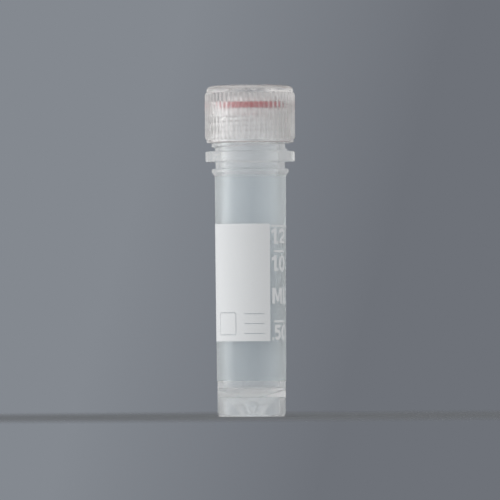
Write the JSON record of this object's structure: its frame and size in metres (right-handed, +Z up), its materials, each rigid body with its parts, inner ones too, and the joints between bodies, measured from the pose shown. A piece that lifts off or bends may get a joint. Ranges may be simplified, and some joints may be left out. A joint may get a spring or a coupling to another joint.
{
  "type": "screw-cap sample vial",
  "caption": "Closed self-standing vial for frozen samples, with a ribbed screw cap, sealing ring, collar, conical floor inside a plain skirt, and printed graduations.",
  "frame": {"origin": "centre of the foot, on the surface that the vial stands on", "axes": "+Z up along the vial's axis, towards the cap; -Y faces the reader, with the graduations towards +X and the writing field towards -X"},
  "size_m": [0.0128, 0.0128, 0.047],
  "materials": {
    "tube_plastic": "natural polypropylene, translucent and slightly milky, smooth",
    "cap_plastic": "natural polypropylene, clearer than the tube, smooth",
    "seal_rubber": "red silicone, satin"
  },
  "bodies": {
    "tube": {"tube": "tube_plastic"},
    "seal": {"o_ring": "seal_rubber"},
    "cap": {"cap": "cap_plastic"}
  },
  "joints": [
    {"name": "cap_lift", "type": "slide", "parent": "tube", "child": "seal", "axis": [0, 0, 1], "range_m": [0, 0.0063]},
    {"name": "cap_turn", "type": "hinge", "parent": "seal", "child": "cap", "pos_m": [0, 0, 0.043], "axis": [0, 0, 1], "range_deg": [0, 1620]}
  ],
  "couplings": [
    {"joint": "cap_turn", "follows": "cap_lift", "rad_per_m": 4488}
  ]
}
